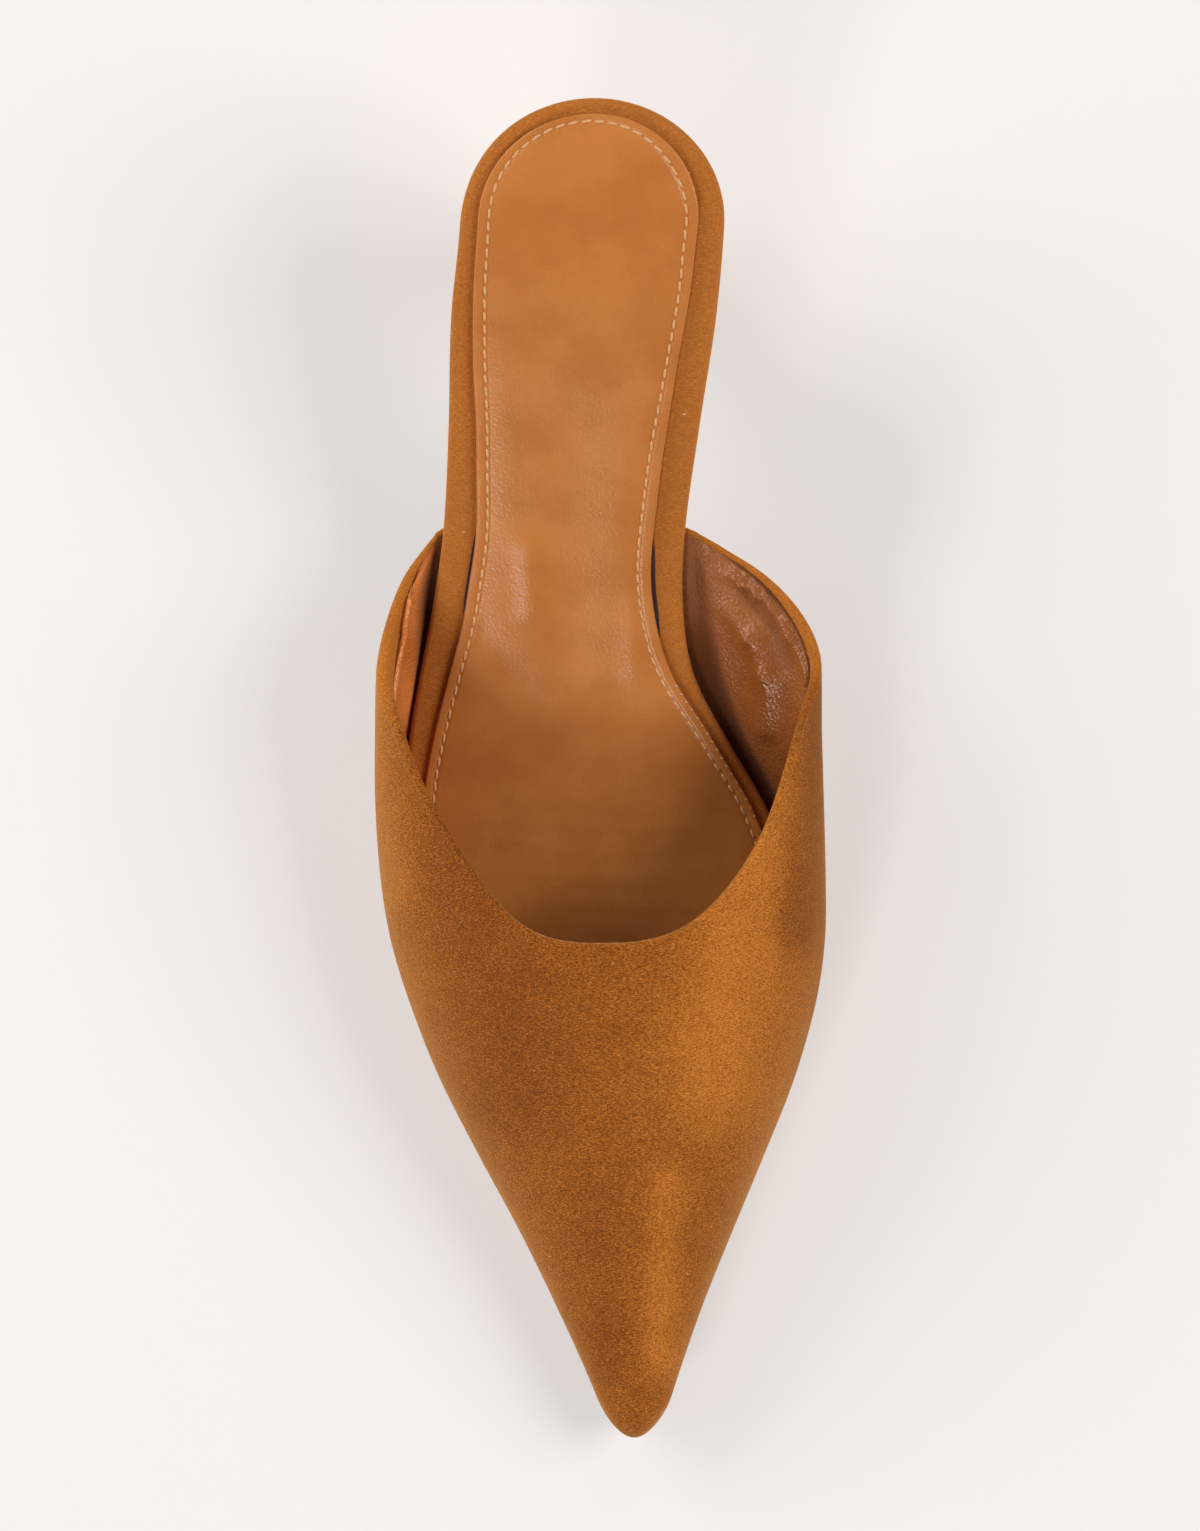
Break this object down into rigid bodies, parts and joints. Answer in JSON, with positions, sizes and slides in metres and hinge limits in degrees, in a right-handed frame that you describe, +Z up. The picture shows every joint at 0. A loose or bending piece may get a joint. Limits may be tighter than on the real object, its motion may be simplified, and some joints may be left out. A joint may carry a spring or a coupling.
{
  "type": "kitten heel mule",
  "caption": "Backless pointed kitten heel mule for the right foot: suede vamp with two wings, suede-wrapped insole with a leatherette sock, covered heel and black sole.",
  "frame": {"origin": "bottom centre of the bounding box, on the plane that the heel tip and the forefoot stand on", "axes": "+Y from the toe tip to the back of the heel seat, +X to the inner (big-toe) side of the right foot, +Z up"},
  "size_m": [0.0868, 0.255, 0.0612],
  "materials": {
    "suede": "short-napped tan faux suede",
    "leatherette": "smooth tan leatherette, soft sheen",
    "sole_rubber": "black, glossy edge and finely grained tread"
  },
  "bodies": {
    "root": {"outsole": "sole_rubber", "upper": "suede", "insole_board": "suede", "insole_sock": "leatherette", "heel": "suede", "heel_top_piece": "sole_rubber"}
  },
  "joints": []
}
